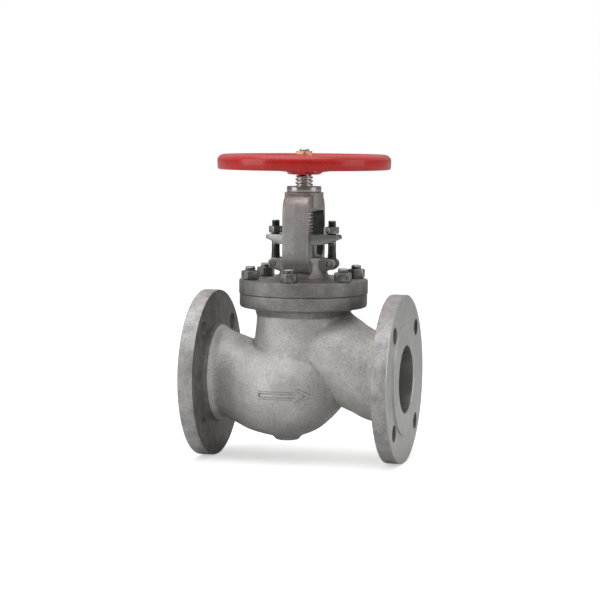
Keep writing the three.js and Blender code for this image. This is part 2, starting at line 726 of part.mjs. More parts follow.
// Its eye turns on the pin between the lugs, below a shank that the gland's nut screws down.
function eyeBolt() {
  const eye = crossRod(EYE_RADIUS, EYE_HALF_WIDTH, 0, PIN_HEIGHT, 24);
  const shank = turned([
    [0, PIN_HEIGHT],
    [EYE_HALF_WIDTH, PIN_HEIGHT],
    [EYE_HALF_WIDTH, PIN_HEIGHT + 7],
    [EYE_BOLT_RADIUS, PIN_HEIGHT + 15],
    [EYE_BOLT_RADIUS, EYE_BOLT_TOP - 1],
    [EYE_BOLT_RADIUS - 1, EYE_BOLT_TOP],
    [0, EYE_BOLT_TOP],
  ], ROUND_HOLE);
  return cut(join(eye, shank), crossRod(PIN_RADIUS + GAP, EYE_HALF_WIDTH + 2, 0, PIN_HEIGHT));
}

for (const [side, name] of [[-1, 'left'], [1, 'right']]) {
  const x = side * PIN_X;
  place(`gland_pin_${name}`, crossRod(PIN_RADIUS, PIN_HALF_LENGTH, x, PIN_HEIGHT), fastenerSteel);
  place(`gland_bolt_${name}`, surface(eyeBolt()).translate(x, 0, 0), fastenerSteel);
  const nut = hexNut(
    GLAND_NUT_FLATS,
    GLAND_TOP + GLAND_NUT_CLEARANCE,
    GLAND_NUT_HEIGHT,
    EYE_BOLT_RADIUS + GAP,
  );
  place(`gland_nut_${name}`, surface(nut).translate(x, 0, 0), fastenerSteel);
}

export default valve;
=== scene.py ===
import json
import math

import bpy
from mathutils import Matrix, Vector

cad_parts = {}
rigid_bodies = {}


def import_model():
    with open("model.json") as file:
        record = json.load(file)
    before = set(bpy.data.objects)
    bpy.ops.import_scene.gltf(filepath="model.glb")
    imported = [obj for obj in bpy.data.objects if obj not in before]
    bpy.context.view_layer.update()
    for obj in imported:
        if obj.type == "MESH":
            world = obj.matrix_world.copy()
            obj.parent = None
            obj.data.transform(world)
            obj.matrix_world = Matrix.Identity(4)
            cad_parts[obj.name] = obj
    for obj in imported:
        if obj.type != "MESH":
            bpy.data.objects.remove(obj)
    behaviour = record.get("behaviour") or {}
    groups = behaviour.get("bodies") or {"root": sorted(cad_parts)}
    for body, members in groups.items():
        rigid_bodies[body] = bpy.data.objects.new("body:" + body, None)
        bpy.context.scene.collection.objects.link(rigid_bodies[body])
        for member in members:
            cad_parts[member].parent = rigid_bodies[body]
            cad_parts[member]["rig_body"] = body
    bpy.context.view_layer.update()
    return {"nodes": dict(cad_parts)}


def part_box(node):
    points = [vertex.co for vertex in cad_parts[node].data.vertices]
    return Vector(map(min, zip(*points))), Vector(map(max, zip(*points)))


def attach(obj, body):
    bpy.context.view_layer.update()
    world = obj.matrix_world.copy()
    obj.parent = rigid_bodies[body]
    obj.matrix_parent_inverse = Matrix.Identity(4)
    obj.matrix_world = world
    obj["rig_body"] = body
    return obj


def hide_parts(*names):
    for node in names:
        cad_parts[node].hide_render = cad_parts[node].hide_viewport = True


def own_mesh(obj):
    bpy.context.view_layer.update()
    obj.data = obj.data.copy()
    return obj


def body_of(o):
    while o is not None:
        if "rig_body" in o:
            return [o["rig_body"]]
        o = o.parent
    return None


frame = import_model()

# A flanged globe valve: body and bonnet castings, stem, disc, gland, fasteners and handwheel.
# Sizes are written in millimetres and turned into metres by MM. +Z is up, and the pipe runs along X.

MM = 0.001
ROUND = 96  # facets of a large turned piece
SMALL_ROUND = 48
HOLE_ROUND = 32  # facets of a drilled hole or a pin
RIM_ROUND = 144  # facets of the pipe flanges
CREASE = math.radians(32)  # edges sharper than this stay sharp
MERGE = 0.002 * MM  # points nearer than this are one

AXES = {
    "X": (Vector((1, 0, 0)), Vector((0, 0, 1))),  # along the axis, and outwards from it
    "Y": (Vector((0, 1, 0)), Vector((1, 0, 0))),
    "Z": (Vector((0, 0, 1)), Vector((1, 0, 0))),
}


def corners(node):
    """A CAD node's lowest and highest corners at rest, in millimetres."""
    low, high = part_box(node)
    return Vector(low) / MM, Vector(high) / MM


def middle(node):
    low, high = corners(node)
    return (low + high) / 2


# ---------------------------------------------------------------- finishes


class Finish:
    """A surface finish, with the nodes that vary its colour, gloss and relief."""

    def __init__(self, name, metallic, roughness, colour=(0.5, 0.5, 0.5), **constants):
        self.material = bpy.data.materials.new(name)
        self.material.use_nodes = True
        self.tree = self.material.node_tree
        self.shader = self.tree.nodes["Principled BSDF"]
        self.shader.inputs["Metallic"].default_value = metallic
        self.shader.inputs["Roughness"].default_value = roughness
        self.shader.inputs["Base Color"].default_value = (*colour, 1)
        for socket, value in constants.items():
            self.shader.inputs[socket.replace("_", " ")].default_value = value
        self.place = self.node("ShaderNodeTexCoord").outputs["Object"]

    def node(self, kind, inputs=None, **settings):
        made = self.tree.nodes.new(kind)
        for name, value in settings.items():
            setattr(made, name, value)
        for socket, value in (inputs or {}).items():
            if isinstance(value, bpy.types.NodeSocket):
                self.tree.links.new(value, made.inputs[socket])
            else:
                made.inputs[socket].default_value = value
        return made

    def noise(self, size, detail=3, roughness=0.55, place=None):
        """Soft noise from 0 to 1, its blotches about `size` millimetres across."""
        where = place or self.place
        inputs = {"Vector": where, "Scale": 1 / (size * MM), "Detail": detail, "Roughness": roughness}
        return self.node("ShaderNodeTexNoise", inputs).outputs["Fac"]

    def cells(self, size):
        """Distance to the nearest of scattered points, about `size` millimetres apart."""
        inputs = {"Vector": self.place, "Scale": 1 / (size * MM)}
        return self.node("ShaderNodeTexVoronoi", inputs).outputs["Distance"]

    def spread(self, source, low, high, start=0.0, end=1.0):
        """Stretches source, from low..high to start..end, and clamps it."""
        inputs = {"Value": source, "From Min": low, "From Max": high, "To Min": start, "To Max": end}
        return self.node("ShaderNodeMapRange", inputs).outputs["Result"]

    def maths(self, operation, first, second=0.0):
        return self.node("ShaderNodeMath", {0: first, 1: second}, operation=operation).outputs[0]

    def mix(self, factor, first, second):
        """A colour between two: each is three numbers or another colour's socket."""
        pair = [value if isinstance(value, bpy.types.NodeSocket) else (*value, 1) for value in (first, second)]
        made = self.node("ShaderNodeMix", {"Factor": factor}, data_type="RGBA")
        for socket, value in zip((made.inputs[6], made.inputs[7]), pair):
            if isinstance(value, bpy.types.NodeSocket):
                self.tree.links.new(value, socket)
            else:
                socket.default_value = value
        return made.outputs[2]

    def edges(self, low, high):
        """Pointiness stretched to 0..1: 1 on worn convex edges; with low above high, 1 in hollows, which is
        used for painted shade.
        """
        bend = self.node("ShaderNodeNewGeometry").outputs["Pointiness"]
        return self.spread(bend, low, high)

    def rings(self, axis, pitch):
        """Tool marks round an axis, `pitch` millimetres apart, from -1 to 1."""
        across = Vector((1, 1, 1)) - AXES[axis][0]
        flat = self.node("ShaderNodeVectorMath", {0: self.place, 1: across}, operation="MULTIPLY").outputs[0]
        radius = self.node("ShaderNodeVectorMath", {0: flat}, operation="LENGTH").outputs["Value"]
        return self.maths("SINE", self.maths("MULTIPLY", radius, math.tau / (pitch * MM)))

    def relief(self, *layers):
        """Bumps, each a height socket from 0 to 1 with its height in millimetres."""
        normal = None
        for height, depth in layers:
            inputs = {"Height": height, "Distance": depth * MM, "Strength": 1.0}
            if normal:
                inputs["Normal"] = normal
            normal = self.node("ShaderNodeBump", inputs).outputs["Normal"]
        self.tree.links.new(normal, self.shader.inputs["Normal"])

    def feed(self, **sockets):
        for name, source in sockets.items():
            self.tree.links.new(source, self.shader.inputs[name.replace("_", " ")])


def sand_cast_steel(name, dark, light, metallic=0.82, roughness=0.44, rim=False):
    """Stainless steel as it left the sand, blasted and pickled: warm grey, matt, finely grained.

    A rim is skimmed and handled, so it has stains but no painted shade in corners and no worn edges.
    """
    f = Finish(name, metallic=metallic, roughness=roughness)
    blotches = f.noise(14 if rim else 26, detail=5, roughness=0.6)
    freckles = f.noise(2.6, detail=4, roughness=0.75)
    sand = f.noise(1.3, detail=3, roughness=0.7)
    base = f.mix(f.spread(blotches, 0.36, 0.64), dark, light)
    sanded = f.mix(f.spread(sand, 0.38, 0.62, 0, 0.32), base, [0.45 * c for c in dark])
    stained = f.mix(f.spread(freckles, 0.54, 0.74, 0, 0.6), sanded, (0.2, 0.18, 0.16))
    pits = f.spread(f.cells(7), 0.03, 0.1)
    colour = f.mix(pits, (0.16, 0.145, 0.13), stained)
    if not rim:
        # Painted shade: faces in hollows (low pointiness) are darkened towards a dark brown.
        grimy = f.mix(f.edges(0.497, 0.47), colour, (0.17, 0.155, 0.14))
        colour = f.mix(f.edges(0.52, 0.6), grimy, (0.66, 0.645, 0.62))
    f.feed(Base_Color=colour, Roughness=f.spread(freckles, 0.3, 0.7, roughness, roughness + 0.16))
    f.relief((f.noise(6, detail=3), 0.45), (sand, 0.5), (pits, 0.15))
    return f.material


def faced_steel(name, axis, pitch, dark=(0.47, 0.47, 0.46), light=(0.58, 0.58, 0.57)):
    """Steel turned in a lathe, with fine rings."""
    f = Finish(name, metallic=0.92, roughness=0.36)
    haze = f.noise(18, detail=4)
    base = f.mix(f.spread(haze, 0.3, 0.7), dark, light)
    rings = f.spread(f.rings(axis, pitch), -1, 1)
    f.feed(Base_Color=base, Roughness=f.spread(f.noise(3.5, detail=4), 0.3, 0.7, 0.3, 0.44))
    f.relief((rings, 0.02), (f.noise(0.9, detail=2), 0.03))
    return f.material


def inside_steel():
    """The cast ways inside the body: rougher, and darker as painted shade."""
    f = Finish("cast_way_steel", metallic=0.8, roughness=0.6)
    base = f.mix(f.spread(f.noise(14, detail=5), 0.3, 0.7), (0.18, 0.176, 0.172), (0.29, 0.285, 0.28))
    f.feed(Base_Color=base, Roughness=f.spread(f.noise(3), 0.3, 0.7, 0.5, 0.66))
    f.relief((f.noise(4, detail=3), 0.35), (f.noise(1.2, detail=2), 0.2))
    return f.material


def polished_steel(name, tone, roughness):
    """Bright turned steel with hairlines round the stem axis."""
    f = Finish(name, metallic=1.0, roughness=roughness)
    squeezed = f.node(
        "ShaderNodeVectorMath", {0: f.place, 1: (0.03, 0.03, 1)}, operation="MULTIPLY"
    ).outputs[0]
    hairs = f.noise(0.35, detail=3, place=squeezed)
    base = f.mix(f.spread(f.noise(9, detail=3), 0.3, 0.7), tone, [min(1, 1.15 * c) for c in tone])
    f.feed(Base_Color=base, Roughness=f.spread(hairs, 0.3, 0.7, roughness - 0.06, roughness + 0.08))
    f.relief((hairs, 0.012))
    return f.material


def fastener_steel(name, dark, light):
    """Studs and nuts: oiled, mottled dark and light, and bright on worn edges."""
    f = Finish(name, metallic=0.95, roughness=0.32)
    grime = f.noise(4.5, detail=5, roughness=0.65)
    base = f.mix(f.spread(grime, 0.32, 0.68), dark, light)
    worn = f.mix(f.edges(0.58, 0.74), base, (0.6, 0.6, 0.585))
    f.feed(Base_Color=worn, Roughness=f.spread(grime, 0.3, 0.7, 0.38, 0.24))
    f.relief((f.noise(1.1, detail=3), 0.05))
    return f.material


def red_enamel():
    """Thick glossy enamel over a cast wheel, with soft orange peel and a few dull specks."""
    f = Finish("red_enamel", metallic=0.0, roughness=0.24, Coat_Weight=0.2, Coat_Roughness=0.08)
    f.shader.inputs["Specular IOR Level"].default_value = 0.42
    shade = f.mix(f.spread(f.noise(16, detail=4), 0.3, 0.7), (0.48, 0.009, 0.008), (0.58, 0.016, 0.014))
    specks = f.spread(f.noise(2.2, detail=5, roughness=0.7), 0.7, 0.78)
    dusty = f.mix(specks, shade, (0.36, 0.05, 0.045))
    f.feed(Base_Color=dusty, Roughness=f.spread(f.noise(5, detail=4), 0.3, 0.7, 0.2, 0.34))
    f.relief((f.noise(9, detail=2), 0.3))
    return f.material


def brass():
    """Copper-toned cast brass, a little dulled."""
    f = Finish("brass", metallic=1.0, roughness=0.28)
    base = f.mix(f.spread(f.noise(5, detail=4), 0.3, 0.7), (0.45, 0.2, 0.125), (0.56, 0.28, 0.185))
    f.feed(Base_Color=base, Roughness=f.spread(f.noise(1.5, detail=3), 0.3, 0.7, 0.22, 0.38))
    f.relief((f.noise(0.9, detail=2), 0.03))
    return f.material


def graphite():
    """Pressed graphite braid."""
    f = Finish("graphite", metallic=0.25, roughness=0.55)
    base = f.mix(f.spread(f.noise(2, detail=5), 0.3, 0.7), (0.02, 0.02, 0.021), (0.06, 0.06, 0.062))
    f.feed(Base_Color=base, Roughness=f.spread(f.noise(1.2), 0.3, 0.7, 0.42, 0.66))
    f.relief((f.cells(1.4), 0.15))
    return f.material


CAST = sand_cast_steel("bonnet_cast_steel", (0.34, 0.32, 0.305), (0.45, 0.43, 0.41), roughness=0.34)
BODY = sand_cast_steel(
    "body_cast_steel", (0.60, 0.58, 0.56), (0.75, 0.73, 0.705), metallic=0.62, roughness=0.38
)
RIM = sand_cast_steel("flange_rim_steel", (0.42, 0.41, 0.40), (0.62, 0.61, 0.60), rim=True)
# Painted shade: a darker copy of the cast steel for the flanges' backs, which lie in shade.
BACK = sand_cast_steel(
    "flange_back_steel", (0.2, 0.193, 0.186), (0.3, 0.29, 0.28), roughness=0.46, rim=True
)
# Painted shade: a much darker copy of the body's cast steel, for the flange under the bonnet and the fillet
# beneath it.
BODY_EDGE = sand_cast_steel(
    "body_edge_steel", (0.28, 0.27, 0.255), (0.40, 0.385, 0.37), roughness=0.36, rim=True
)
# Painted shade: a darker copy of the bonnet's cast steel, for the bonnet's flange.
EDGE = sand_cast_steel(
    "bonnet_edge_steel", (0.22, 0.21, 0.2), (0.32, 0.308, 0.295), roughness=0.36, rim=True
)
# Painted shade: a near-black copy of the cast steel, for the yoke's faces between the arms, where shade falls.
OILED = sand_cast_steel(
    "oiled_cast_steel", (0.055, 0.06, 0.06), (0.12, 0.128, 0.126), roughness=0.3, rim=True
)
WAY = inside_steel()
FACED_X = faced_steel("faced_about_pipe", "X", 0.8)
FACED_Z = faced_steel("faced_about_stem", "Z", 0.5)
# Painted shade: a darker copy of the faced steel for the gland, which the yoke arm shades.
GLAND = faced_steel("gland_steel", "Z", 0.5, (0.27, 0.27, 0.265), (0.36, 0.36, 0.355))
BUSH = polished_steel("polished_bush_steel", (0.38, 0.37, 0.355), 0.24)
STEM = polished_steel("stem_steel", (0.50, 0.485, 0.465), 0.3)
FASTENER = fastener_steel("fastener_steel", (0.13, 0.135, 0.13), (0.36, 0.36, 0.355))
EYE_BOLT = fastener_steel("eye_bolt_steel", (0.035, 0.035, 0.035), (0.11, 0.11, 0.108))
RED = red_enamel()
BRASS = brass()
GRAPHITE = graphite()

# ---------------------------------------------------------------- a maker's moves


def rest():
    """Back in object mode with nothing selected."""
    if bpy.context.object and bpy.context.object.mode != "OBJECT":
        bpy.ops.object.mode_set(mode="OBJECT")
    bpy.ops.object.select_all(action="DESELECT")


def only(piece):
    rest()
    piece.select_set(True)
    bpy.context.view_layer.objects.active = piece


def edit(piece=None):
    if piece:
        only(piece)
    bpy.ops.object.mode_set(mode="EDIT")
    bpy.ops.mesh.select_all(action="SELECT")


def made(name, finish):
    """Closes the mesh that is being edited, turns its faces outwards, and names it."""
    bpy.ops.mesh.select_all(action="SELECT")
    bpy.ops.mesh.remove_doubles(threshold=MERGE)
    bpy.ops.mesh.normals_make_consistent(inside=False)
    bpy.ops.object.mode_set(mode="OBJECT")
    piece = bpy.context.object
    piece.name = name
    piece.data.name = name
    piece.data.materials.clear()
    piece.data.materials.append(finish)
    return piece


def pen(points):
    """Draws a line of edges through points, in millimetres, and stays in edit mode."""
    rest()
    bpy.ops.mesh.primitive_plane_add(size=MM)
    edit()
    bpy.ops.mesh.merge(type="CENTER")
    bpy.ops.transform.translate(value=Vector(points[0]) * MM)
    for start, end in zip(points, points[1:]):
        step = (Vector(end) - Vector(start)) * MM
        bpy.ops.mesh.extrude_vertices_move(TRANSFORM_OT_translate={"value": step})
    bpy.ops.mesh.select_all(action="SELECT")


def turned(name, profile, finish, steps=ROUND, axis="Z", centre=(0, 0, 0)):
    """Spins a profile of (radius, along) pairs about an axis through centre."""
    along, out = AXES[axis]
    base = Vector(centre)
    pen([base + out * radius + along * height for radius, height in profile])
    bpy.ops.mesh.spin(steps=steps, angle=math.tau, center=base * MM, axis=along)
    return made(name, finish)


def ring(name, profile, finish, steps=ROUND):
    """Spins a closed profile about the stem axis."""
    return turned(name, [*profile, profile[0]], finish, steps)


def slab(name, outline, finish, *lifts):
    """A flat outline of points filled and then extruded by each lift in turn."""
    pen([*outline, outline[0]])
    bpy.ops.mesh.remove_doubles(threshold=MERGE)
    bpy.ops.mesh.edge_face_add()
    for lift in lifts:
        bpy.ops.mesh.extrude_region_move(TRANSFORM_OT_translate={"value": Vector(lift) * MM})
    return made(name, finish)


def smooth_curve(rows, steps):
    """Rows of numbers joined by smooth curves, with steps between each two."""
    first = [2 * a - b for a, b in zip(rows[0], rows[1])]
    last = [2 * a - b for a, b in zip(rows[-1], rows[-2])]
    rows = [first, *rows, last]
    path = []
    for before, start, end, after in zip(rows, rows[1:], rows[2:], rows[3:]):
        for k in range(steps):
            t = k / steps
            path.append([
                b + t * ((c - a) + t * ((2 * a - 5 * b + 4 * c - d) + t * (3 * b - a - 3 * c + d))) / 2
                for a, b, c, d in zip(before, start, end, after)
            ])
    return [*path, list(rows[-2])]


def drawn_out(name, stations, finish, sides=64, steps=5):
    """A casting or a way along X: upright ovals, (x, bottom, top, half its width), extruded in turn."""
    rows = smooth_curve(stations, steps)
    rest()
    bpy.ops.mesh.primitive_circle_add(
        vertices=sides, radius=MM, fill_type="NGON", rotation=(0, math.pi / 2, 0)
    )
    bpy.ops.object.transform_apply(rotation=True)
    edit()
    x, bottom, top, half = rows[0]
    bpy.ops.transform.resize(value=(1, half, (top - bottom) / 2), center_override=(0, 0, 0))
    bpy.ops.transform.translate(value=(x * MM, 0, (top + bottom) / 2 * MM))
    for (x0, b0, t0, h0), (x1, b1, t1, h1) in zip(rows, rows[1:]):
        step = Vector((x1 - x0, 0, (t1 + b1 - t0 - b0) / 2)) * MM
        bpy.ops.mesh.extrude_region_move(TRANSFORM_OT_translate={"value": step})
        bpy.ops.transform.resize(
            value=(1, h1 / h0, (t1 - b1) / (t0 - b0)),
            center_override=(x1 * MM, 0, (t1 + b1) / 2 * MM),
        )
    return made(name, finish)


def modified(piece, kind, **settings):
    """Adds a modifier and applies it."""
    only(piece)
    modifier = piece.modifiers.new(kind.lower(), kind)
    for name, value in settings.items():
        setattr(modifier, name, value)
    bpy.ops.object.modifier_apply(modifier=modifier.name)
    return piece


def refinished(piece, finish, chosen):
    """Gives the chosen faces another finish."""
    piece.data.materials.append(finish)
    for face in piece.data.polygons:
        if chosen(face):
            face.material_index = len(piece.data.materials) - 1
    return piece


def eased(piece, width, segments=2, angle=32):
    """Breaks the sharp edges."""
    return modified(
        piece, "BEVEL", width=width * MM, segments=segments, limit_method="ANGLE",
        angle_limit=math.radians(angle), harden_normals=False, use_clamp_overlap=True,
    )


def combined(piece, tool, operation):
    """Joins, cuts or trims a piece with a tool, and clears the tool away.

    The tool's finish stays on the faces it leaves.
    """
    modified(
        piece, "BOOLEAN", object=tool, operation=operation, solver="EXACT", material_mode="TRANSFER"
    )
    bpy.data.objects.remove(tool)
    return piece


def cut(piece, *tools):
    for tool in tools:
        combined(piece, tool, "DIFFERENCE")
    return piece


def joined(piece, *others):
    for other in others:
        combined(piece, other, "UNION")
    return piece


def gathered(piece, *others):
    """Several loose shells as one object, not yet fused."""
    only(piece)
    for other in others:
        other.select_set(True)
    bpy.ops.object.join()
    return bpy.context.object


def fused(piece, grain, passes):
    """Melts overlapping shells into one skin and softens where they meet."""
    modified(piece, "REMESH", mode="VOXEL", voxel_size=grain * MM)
    return modified(piece, "SMOOTH", factor=0.5, iterations=passes)


def copied(piece, name, shift=(0, 0, 0)):
    """A copy with its own mesh, shifted by millimetres."""
    twin = piece.copy()
    twin.data = piece.data.copy()
    twin.name = name
    twin.data.name = name
    bpy.context.collection.objects.link(twin)
    twin.data.transform(Matrix.Translation(Vector(shift) * MM))
    return twin


def stands_for(piece, node):
    """Softens the shading of a finished piece, and ties it to its CAD node's body."""
    only(piece)
    bpy.ops.object.shade_smooth_by_angle(angle=CREASE)
    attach(piece, body_of(frame["nodes"][node])[0])
    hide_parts(node)


# ---------------------------------------------------------------- body casting

FACE = 120.5  # from the stem axis to either pipe flange's raised face
FLANGE_BACK = 101.2
FLANGE_RADIUS = 95
RAISED_RADIUS = 63.5
RAISED_STEP = 118.9
BODY_RIM = (72.3, 78.6, 93.8)  # radius, bottom and top of the flange under the bonnet
BONNET_RIM = (73, 94.2, 110.4)
LOCK_SCREW = 198  # height of the screw that locks the yoke bush
RECESS = (54.3, 89.5)  # radius and floor of the bonnet's seat in the body
CHAMBER = (46, 13)  # radius and floor
SEAT = (36, 10)  # radius of the port, and where its cone starts
PORT = 38.1  # radius of the way at either flange
BOLT_CIRCLE = 76.2  # radii of the circle and of its holes
BOLT_HOLE = 9.5
BOSS = -18  # where the bottom boss stands along X
ARROW_HEIGHT = 1.0
BODY_LUMPS = 0.9  # unevenness left by the sand
BONNET_LUMPS = 0.5

# Stations along X: (x, bottom, top, half the width)
BOWL = [
    (-104, -53, 53, 53), (-97, -52, 52, 52), (-91, -50.2, 49.4, 49.8), (-75, -57, 45, 53), (-60, -63.5, 40, 59),
    (-40, -68.5, 42, 65), (-18, -70.5, 48, 69), (0, -68, 50, 68), (18, -60.5, 46, 62), (33, -48, 34, 51),
    (45, -34, 16, 37), (53, -16, 3, 18),
]
OUTLET = [
    (5, 5, 74, 50), (30, -18, 76, 53), (47, -33, 76, 54), (61, -39.5, 68, 54),
    (73, -45.5, 59.5, 53), (86, -49, 53, 51.5), (97, -50, 51, 50.5), (104, -50, 50, 50),
]
INLET_WAY = [
    (-125.5, -PORT, PORT, PORT), (-98, -PORT, PORT, PORT), (-80, -43, 35, 40), (-65, -50, 24, 46),
    (-50, -54, 6, 51), (-36, -57, -1, 55), (-18, -59, -4, 58), (0, -57, -5, 56),
    (18, -48, -6, 47), (32, -36, -9, 31), (41, -24, -16, 6),
]
OUTLET_WAY = [
    (15, 13, 72, 40), (36, 7, 68, 43), (46, -9, 65, 44), (58, -24, 58.5, 44),
    (72, -34, 49, 42), (86, -37.6, 42, 39.5), (98, -PORT, PORT, PORT), (125.5, -PORT, PORT, PORT),
]


def flange_root(side):
    """Where the casting grows out of a flange's back: a hollow curve that dips under the flange.

    The inlet's has a raised band.
    """
    band = [
        (47, 82), (49.6, 90), (51.6, 92.4), (54.4, 94.2), (55, 97), (55.4, 99.8), (57.5, 101.4), (62, 102.2),
    ]
    hollow = [(47, 82), (49.4, 88), (50.4, 92), (51.6, 95.5), (53.6, 98.4), (57, 100.4), (62, 101.6)]
    profile = [(0, 82), *(band if side < 0 else hollow), (68, 103.4), (68, 107), (0, 107)]
    return turned("flange_root", [(r, side * x) for r, x in profile], BODY, axis="X")


def pipe_flange(side):
    """The inlet's (-1) or outlet's (+1) flange, before its face is cut."""
    profile = [
        (0, FLANGE_BACK), (FLANGE_RADIUS - 1.4, FLANGE_BACK), (FLANGE_RADIUS - 0.4, FLANGE_BACK + 0.4),
        (FLANGE_RADIUS, FLANGE_BACK + 1.4), (FLANGE_RADIUS, FACE + 1), (0, FACE + 1),
    ]
    flange = turned("pipe_flange", [(r, side * x) for r, x in profile], RIM, steps=RIM_ROUND, axis="X")
    # Painted shade: the flange's back face gets the darker copy.
    return refinished(flange, BACK, lambda face: abs(face.center.x) < (FLANGE_BACK + 0.5) * MM)


def flange_facing(side):
    """What the lathe takes off a flange's face, leaving the raised face."""
    profile = [
        (0, FACE), (RAISED_RADIUS - 0.3, FACE), (RAISED_RADIUS, FACE - 0.3), (RAISED_RADIUS, RAISED_STEP + 0.3),
        (RAISED_RADIUS + 0.3, RAISED_STEP), (FLANGE_RADIUS - 0.8, RAISED_STEP),
        (FLANGE_RADIUS + 0.4, RAISED_STEP - 1.2), (FLANGE_RADIUS + 8, RAISED_STEP - 1.2),
        (FLANGE_RADIUS + 8, FACE + 8), (0, FACE + 8),
    ]
    return turned("flange_facing", [(r, side * x) for r, x in profile], FACED_X, steps=RIM_ROUND, axis="X")


def holes(name, radius, low, high, spots, finish, axis="Z", steps=HOLE_ROUND):
    """Round cutters at several spots, as one object."""
    profile = [(0, low), (radius, low), (radius, high), (0, high)]
    return gathered(*[
        turned(name, profile, finish, steps=steps, axis=axis, centre=spot) for spot in spots
    ])


def flow_arrow(skin):
    """An open arrow that stands proud of the bowl's near side and points to the outlet."""
    shaft = slab("arrow_shaft", [(x, -80, z) for x, z in [
        (-34, -11.4), (8, -11.4), (8, -12.9), (-32.5, -12.9), (-32.5, -17.9), (8, -17.9), (8, -19.4),
        (-34, -19.4),
    ]], BODY, (0, 40, 0))
    head = slab("arrow_head", [(x, -80, z) for x, z in [
        (8.5, -8.2), (10.5, -7.6), (25, -14.4), (25, -16.4), (10.5, -23.2), (8.5, -22.6), (20, -15.4),
    ]], BODY, (0, 40, 0))
    proud = modified(copied(skin, "proud_skin"), "DISPLACE", strength=ARROW_HEIGHT * MM, mid_level=0)
    return combined(joined(shaft, head), proud, "INTERSECT")


def body_casting():
    neck = turned("neck", [(0, 10), (55, 10), (55, 42), (53, 60), (53, 86), (0, 86)], BODY)
    boss = turned("boss", [(0, -74.5), (13.2, -74.5), (15, -72.7), (15.6, -66), (16.5, -50), (0, -50)], BODY,
                  centre=(BOSS, 0, 0))
    casting = gathered(drawn_out("bowl", BOWL, BODY), drawn_out("outlet", OUTLET, BODY), neck, boss,
                       flange_root(-1), flange_root(1))
    fused(casting, grain=1.3, passes=60)
    lumps = bpy.data.textures.new("sand_lumps", "CLOUDS")
    lumps.noise_scale = 0.016
    modified(casting, "DISPLACE", texture=lumps, texture_coords="LOCAL", strength=BODY_LUMPS * MM,
             mid_level=0.5)
    # Painted shade: the casting next to each flange's back gets the darker copy too.
    refinished(casting, BACK, lambda face: abs(face.center.x) > 97 * MM)
    arrow = flow_arrow(casting)
    radius, bottom, top = BODY_RIM
    # Painted shade: the rim and its fillet take the darker copy.
    rim = turned("body_rim", [
        (0, 66), (51, 66), (53.3, 70), (54.3, 74), (56.5, 77), (60, bottom), (radius - 3.2, bottom),
        (radius - 1, bottom + 0.9), (radius, bottom + 3.2), (radius, top - 0.4), (radius - 0.4, top), (0, top),
    ], BODY_EDGE, steps=128)
    joined(casting, rim, pipe_flange(-1), pipe_flange(1), arrow)

    ways = joined(drawn_out("inlet_way", INLET_WAY, WAY, sides=48, steps=4),
                  drawn_out("outlet_way", OUTLET_WAY, WAY, sides=48, steps=4))
    chamber = turned("chamber", [
        (0, -20), (SEAT[0], -20), (SEAT[0], SEAT[1]), (SEAT[0] + 3, CHAMBER[1]), (CHAMBER[0], CHAMBER[1]),
        (CHAMBER[0], RECESS[1]), (RECESS[0], RECESS[1]), (RECESS[0], 99), (0, 99),
    ], FACED_Z)
    mouth = [(0, 99), (PORT, 99), (PORT, 119.7), (39, 120.6), (39, 126), (0, 126)]
    bores = gathered(*[
        turned("bore", [(r, side * x) for r, x in mouth], FACED_X, axis="X") for side in (-1, 1)
    ])
    corner = BOLT_CIRCLE * math.sqrt(0.5)
    spots = [(0, y, z) for y in (-corner, corner) for z in (-corner, corner)]
    # Painted shade: the bolt holes take the dark way finish too.
    bolt_holes = gathered(
        holes("bolt_hole", BOLT_HOLE, -126, -96, spots, WAY, axis="X"),
        holes("bolt_hole", BOLT_HOLE, 96, 126, spots, WAY, axis="X"),
    )
    stud_spots = [(*middle(f"bonnet_stud_{i}").xy, 0) for i in range(1, 7)]
    stud_holes = holes("stud_hole", 6.2, 81, 99, stud_spots, FACED_Z)
    facings = gathered(flange_facing(-1), flange_facing(1))
    cut(casting, facings, ways, chamber, bores, bolt_holes, stud_holes)
    casting.name = casting.data.name = "body_casting"
    return casting


# ---------------------------------------------------------------- bonnet casting, with the yoke


def bent(start, pull, end):
    """Points of a bend from start to end, pulled towards a corner."""
    steps = 6
    return [
        [(1 - t) ** 2 * a + 2 * t * (1 - t) * b + t * t * c for a, b, c in zip(start, pull, end)]
        for t in (k / steps for k in range(1, steps + 1))
    ]


def yoke_arm(side):
    """One arm, crowned across its width, on the near (-1) or far (+1) side of the stem."""
    outer = [(16, 114), (20, 116), *bent((20, 116), (39, 122), (40, 140)), (40, 162), (40, 184),
             *bent((40, 184), (40, 200), (27, 205)), (14, 207)]
    inner = [(14, 189.6), *bent((27, 188.8), (33, 187), (33, 181)), (33, 162), (33, 146),
             *bent((33, 146), (32, 135), (20, 131)), (14, 130)]
    stations = [(-15, 0.74), (-14.3, 0.85), (-12, 0.905), (-6, 0.955), (0, 1), (6, 0.955), (12, 0.905),
                (14.3, 0.85), (15, 0.74)]
    heart = Vector((0, side * 31, 162))
    points = [Vector((stations[0][0], side * y, z)) for y, z in outer + inner]
    pen([*points, points[0]])
    bpy.ops.mesh.remove_doubles(threshold=MERGE)
    bpy.ops.mesh.edge_face_add()
    for (x, size), (_, before) in zip(stations, [(0, 1), *stations]):
        if x > stations[0][0]:
            step = ((x - last) * MM, 0, 0)
            bpy.ops.mesh.extrude_region_move(TRANSFORM_OT_translate={"value": step})
        wide = size / before
        tall = 1 + (wide - 1) * 0.12
        bpy.ops.transform.resize(value=(1, wide, tall), center_override=Vector((x, *heart.yz)) * MM)
        last = x
    return made("yoke_arm", CAST)


